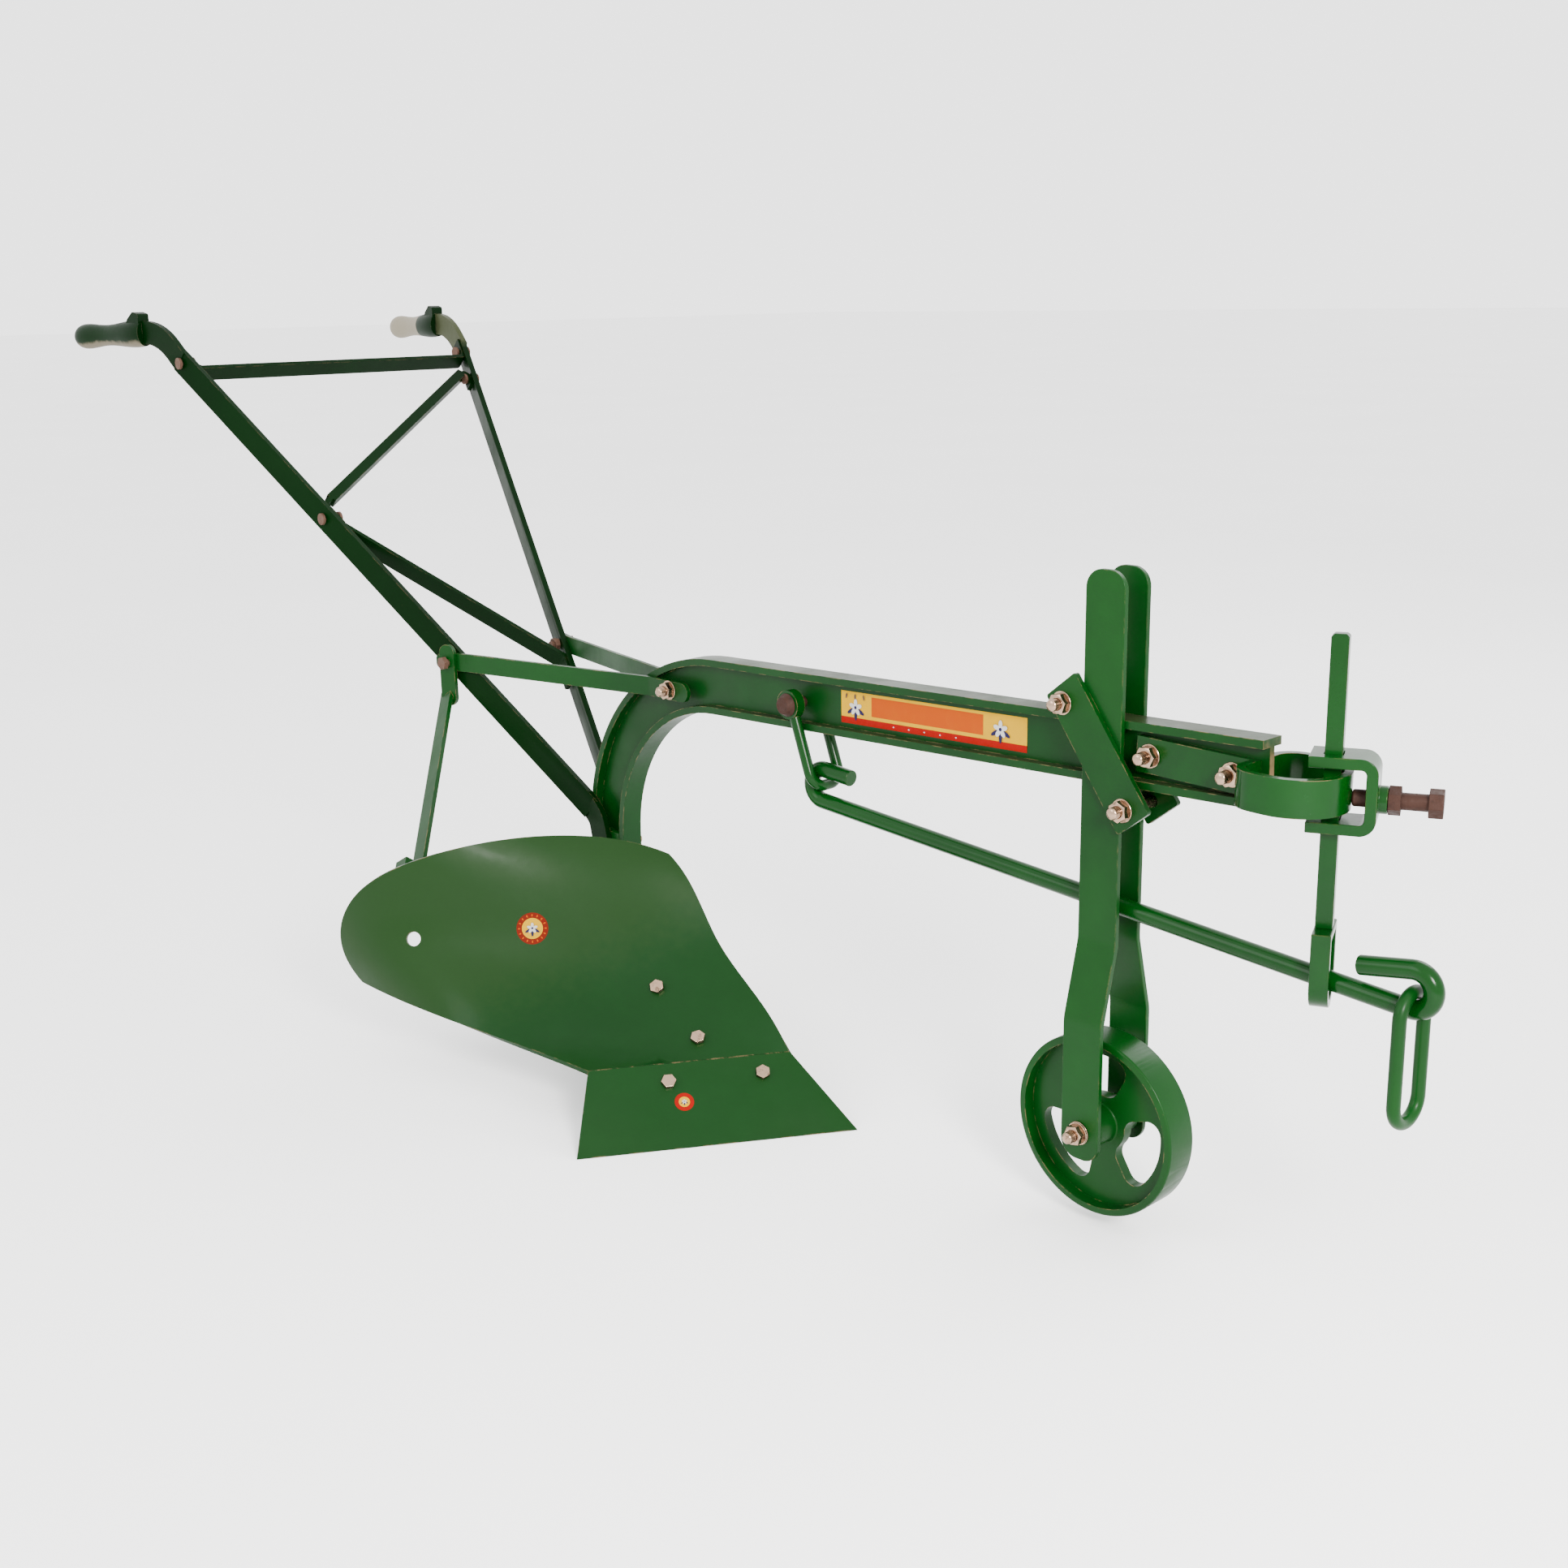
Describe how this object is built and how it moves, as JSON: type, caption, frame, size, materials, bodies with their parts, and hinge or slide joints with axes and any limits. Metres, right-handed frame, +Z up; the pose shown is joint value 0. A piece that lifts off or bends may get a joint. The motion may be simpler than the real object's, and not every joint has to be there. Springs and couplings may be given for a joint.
{
  "type": "walking plow",
  "caption": "Green steel walking plow with a right-turning mouldboard, two handles, a depth wheel, an adjustable hake and a draw rod with a link.",
  "frame": {"origin": "on the sole of the landside, under the beam's middle plane; z is 0 at the bottom of the share's edge, the landside and the heel", "axes": "+X forward along the beam towards the draw link, +Y to the plowman's left, +Z up"},
  "size_m": [2.0631, 0.625, 0.9494],
  "materials": {
    "green_paint": "gloss",
    "dark_green_paint": "gloss",
    "bottom_green_paint": "satin",
    "plated_steel": "satin",
    "worn_steel": "satin",
    "rusty_steel": "matte",
    "dull_rivet": "matte",
    "grip_metal": "satin"
  },
  "bodies": {
    "frame": {"beam": "green_paint", "beam_stay_bolt": "plated_steel", "beam_stay_nut": "plated_steel", "brace_rivets": "dull_rivet", "clamp_bolts": "plated_steel", "clamp_nuts": "plated_steel", "diagonal_handle_brace": "dark_green_paint", "frog": "green_paint", "frog_bolt": "plated_steel", "frog_nut": "plated_steel", "hake_strap": "green_paint", "hake_strap_bolts": "plated_steel", "hake_strap_nuts": "plated_steel", "handle_foot_bolts": "plated_steel", "handle_foot_nuts": "plated_steel", "handle_stay_bolts": "dull_rivet", "handle_stay_nuts": "dull_rivet", "heel": "bottom_green_paint", "landside": "bottom_green_paint", "landside_bolts": "plated_steel", "landside_nuts": "plated_steel", "left_beam_stay": "green_paint", "left_clamp_plate": "green_paint", "left_grip": "grip_metal", "left_handle": "dark_green_paint", "lower_handle_brace": "dark_green_paint", "mouldboard": "bottom_green_paint", "mouldboard_bolts": "plated_steel", "mouldboard_lug": "green_paint", "mouldboard_stay": "green_paint", "right_beam_stay": "green_paint", "right_clamp_plate": "green_paint", "right_grip": "grip_metal", "right_handle": "dark_green_paint", "shackle_pin": "rusty_steel", "shackle_pin_nut": "plated_steel", "share": "bottom_green_paint", "share_bolts": "plated_steel", "share_nuts": "plated_steel", "stay_foot_bolt": "plated_steel", "upper_handle_brace": "dark_green_paint"},
    "wheel_arms": {"right_wheel_arm": "green_paint", "left_wheel_arm": "green_paint", "axle_bolt": "plated_steel", "axle_nut": "plated_steel", "axle_washers": "plated_steel", "wheel_bush": "worn_steel"},
    "wheel": {"wheel": "green_paint"},
    "hake_clamp": {"hake_clamp": "green_paint", "set_screw_lock_nut": "rusty_steel"},
    "set_screw": {"set_screw": "rusty_steel"},
    "hake_bar": {"hake_bar": "green_paint", "rod_guide": "green_paint"},
    "draw_rod": {"draw_rod": "green_paint"},
    "draw_link": {"draw_link": "green_paint"},
    "shackle": {"shackle": "green_paint"}
  },
  "joints": [
    {"name": "wheel_height", "type": "slide", "parent": "frame", "child": "wheel_arms", "axis": [0, 0, 1], "range_m": [-0.1, 0.09]},
    {"name": "wheel_spin", "type": "hinge", "parent": "wheel_arms", "child": "wheel", "pos_m": [0.67, 0, 0.115], "axis": [0, 1, 0], "continuous": true},
    {"name": "hake_swing", "type": "hinge", "parent": "frame", "child": "hake_clamp", "pos_m": [0.873, 0, 0.513], "axis": [0, 0, 1], "range_deg": [-20, 0]},
    {"name": "set_screw_turn", "type": "hinge", "parent": "hake_clamp", "child": "set_screw", "pos_m": [0.96363, 0.04226, 0.508], "axis": [0.9063, 0.4226, 0], "range_deg": [0, 360]},
    {"name": "hake_height", "type": "slide", "parent": "hake_clamp", "child": "hake_bar", "axis": [0, 0, 1], "range_m": [-0.05, 0.05]},
    {"name": "draw_rod_pitch", "type": "hinge", "parent": "frame", "child": "draw_rod", "pos_m": [0.262, -0.0055, 0.407], "axis": [-0.0246, 0.9997, 0], "range_deg": [-4.5, 4.5]},
    {"name": "draw_link_swing", "type": "hinge", "parent": "draw_rod", "child": "draw_link", "pos_m": [0.9987, 0.0126, 0.3424], "axis": [0, 1, 0], "range_deg": [-70, 50]},
    {"name": "shackle_play", "type": "hinge", "parent": "frame", "child": "shackle", "pos_m": [0.228, 0, 0.501], "axis": [0, 1, 0], "range_deg": [-1, 1]}
  ],
  "couplings": [
    {"joint": "draw_rod_pitch", "follows": "hake_height", "rad_per_m": -1.5555}
  ]
}
